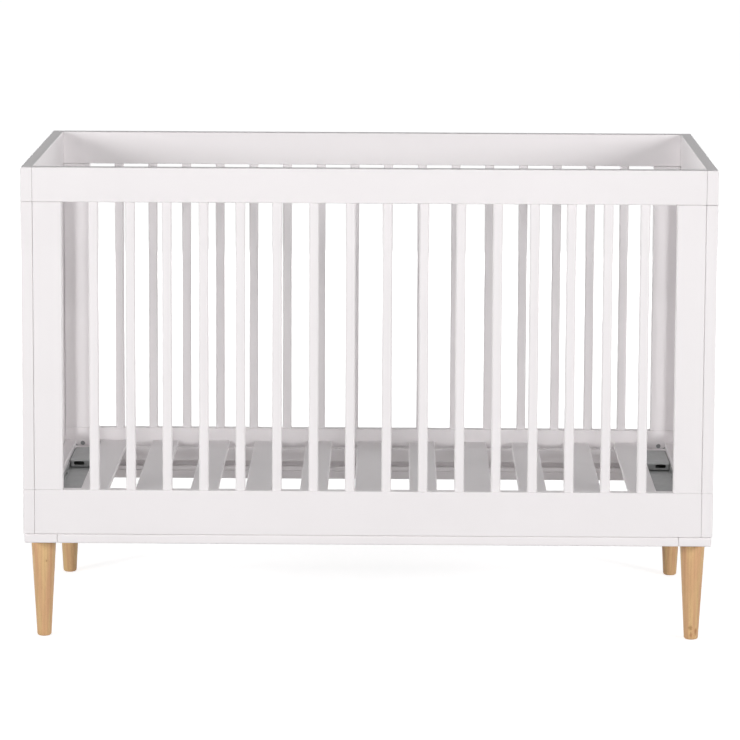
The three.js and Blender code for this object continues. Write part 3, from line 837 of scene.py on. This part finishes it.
# Studio: two strong key lamps in front, weaker pairs at the sides and behind, single lamps straight in
# front, straight behind and overhead, a pale floor and a white surround. A lamp's side is its angle round
# from straight in front, and its height the angle up, in degrees. Distances and sizes are in metres.
studio = {
    "aim": (0, 0, 0.5),
    "keys": {"side": 45, "height": 12, "distance": 9, "power": 316, "size": (1.8, 2.2)},
    "sides": {"side": 76, "height": 16, "distance": 6, "power": 42, "size": (2.4, 1.6)},
    "rears": {"side": 150, "height": 10, "distance": 6, "power": 58, "size": (2.4, 1.6)},
    "front": {"side": 0, "height": 6, "distance": 6, "power": 50, "size": (3, 1.6)},
    "rear": {"side": 180, "height": 5, "distance": 6, "power": 72, "size": (3, 1.6)},
    "overhead": {"side": 0, "height": 89, "distance": 6, "power": 14, "size": (3, 2)},
    "skyLight": 0.04,  # of the surround, which looks plain white
    "floorColour": "DAD9D9",
    "floorReach": 40,  # to the front and the sides
    "floorBehind": 60,
    "floorDrop": 0.2 * mm,
    "nearWhite": 0.72,  # glow of the floor to the eye, as far out as nearRadius
    "farWhite": 1,
    "nearRadius": 0.8,
    "farRadius": 2.4,
}


def addLamp(name, look, mirrored=False):
    lamp = bpy.data.lights.new(name, "AREA")
    lamp.shape = "RECTANGLE"
    lamp.size, lamp.size_y = look["size"]
    lamp.energy = look["power"]
    piece = addPiece(name, lamp)
    side, height = math.radians(look["side"]) * (-1 if mirrored else 1), math.radians(look["height"])
    away = Vector((math.sin(side) * math.cos(height), -math.cos(side) * math.cos(height), math.sin(height)))
    piece.location = Vector(studio["aim"]) + away * look["distance"]
    piece.rotation_euler = away.to_track_quat("Z", "Y").to_euler()
    piece.visible_camera = False
    return piece


for pair in ("keys", "sides", "rears"):
    addLamp(f"left_{pair[:-1]}_lamp", studio[pair], mirrored=True)
    addLamp(f"right_{pair[:-1]}_lamp", studio[pair])
addLamp("front_lamp", studio["front"])
addLamp("rear_lamp", studio["rear"]).visible_glossy = False  # or it glares on the top edges
addLamp("overhead_lamp", studio["overhead"])


# White to the eye, in reflections and through clear things, dimmer as a light.
def seenAsWhite(tree):
    path = addNode(tree, "ShaderNodeLightPath")
    first = addNode(tree, "ShaderNodeMath", {"operation": "MAXIMUM"},
                    links={0: path.outputs["Is Camera Ray"], 1: path.outputs["Is Glossy Ray"]})
    return addNode(tree, "ShaderNodeMath", {"operation": "MAXIMUM"},
                   links={0: first.outputs[0], 1: path.outputs["Is Transmission Ray"]}).outputs[0]


world = bpy.data.worlds.new("studio_sky")
world.use_nodes = True
world.node_tree.nodes.clear()
skyShare = addNode(world.node_tree, "ShaderNodeMapRange",
                   values={"To Min": studio["skyLight"], "To Max": 1},
                   links={"Value": seenAsWhite(world.node_tree)})
sky = addNode(world.node_tree, "ShaderNodeBackground", links={"Strength": skyShare.outputs[0]})
addNode(world.node_tree, "ShaderNodeOutputWorld", links={"Surface": sky.outputs[0]})
scene.world = world

# The floor takes the crib's shadow near its middle and fades to plain white further out.
floorMaterial, floorTree = newMaterial("pale_studio_floor")
diffuse = addNode(floorTree, "ShaderNodeBsdfDiffuse", values={"Color": fromHex(studio["floorColour"])})
floorPlace = addNode(floorTree, "ShaderNodeTexCoord").outputs["Object"]
away = addNode(floorTree, "ShaderNodeVectorMath", {"operation": "LENGTH"}, links={0: floorPlace})
whiteness = addNode(floorTree, "ShaderNodeMapRange", {"interpolation_type": "SMOOTHSTEP"},
                    {"From Min": studio["nearRadius"], "From Max": studio["farRadius"],
                     "To Min": studio["nearWhite"], "To Max": studio["farWhite"]},
                    {"Value": away.outputs["Value"]})
glow = addNode(floorTree, "ShaderNodeMath", {"operation": "MULTIPLY"},
               links={0: seenAsWhite(floorTree), 1: whiteness.outputs[0]})
shine = addNode(floorTree, "ShaderNodeEmission", links={"Strength": glow.outputs[0]})
both = addNode(floorTree, "ShaderNodeAddShader", links={0: diffuse.outputs[0], 1: shine.outputs[0]})
addNode(floorTree, "ShaderNodeOutputMaterial", links={"Surface": both.outputs[0]})
near, far = studio["floorReach"], studio["floorBehind"]
floorCorners = [(-near, -near, 0), (near, -near, 0), (near, far, 0), (-near, far, 0)]
floorMesh = bpy.data.meshes.new("studio_floor")
floorMesh.from_pydata(floorCorners, [], [(0, 1, 2, 3)])
floorMesh.materials.append(floorMaterial)
floor = addPiece("studio_floor", floorMesh)
floor.location.z = -studio["floorDrop"]

# Camera: a long lens a good way off, with its place in metres and its small turns in radians.
cameraView = {
    "lens": 195.33,
    "place": (0.05353, -8.25708, 1.7694),
    "turn": 0.00641,
    "tilt": 0.15303,
    "roll": -0.00465,
    "seesTo": 200,
}
turn, tilt, roll = cameraView["turn"], cameraView["tilt"], cameraView["roll"]
right = Vector((math.cos(turn), math.sin(turn), 0))
level = Vector((-math.sin(turn), math.cos(turn), 0))
upright = Vector((0, 0, 1))
forward = level * math.cos(tilt) - upright * math.sin(tilt)
up = level * math.sin(tilt) + upright * math.cos(tilt)
axes = Matrix((right * math.cos(roll) - up * math.sin(roll),
               right * math.sin(roll) + up * math.cos(roll), -forward))
lens = bpy.data.cameras.new("camera")
lens.lens = cameraView["lens"]
lens.clip_end = cameraView["seesTo"]
camera = addPiece("camera", lens)
camera.matrix_world = Matrix.Translation(cameraView["place"]) @ axes.transposed().to_4x4()
scene.camera = camera
scene.view_settings.view_transform = "Standard"
print("studio set")
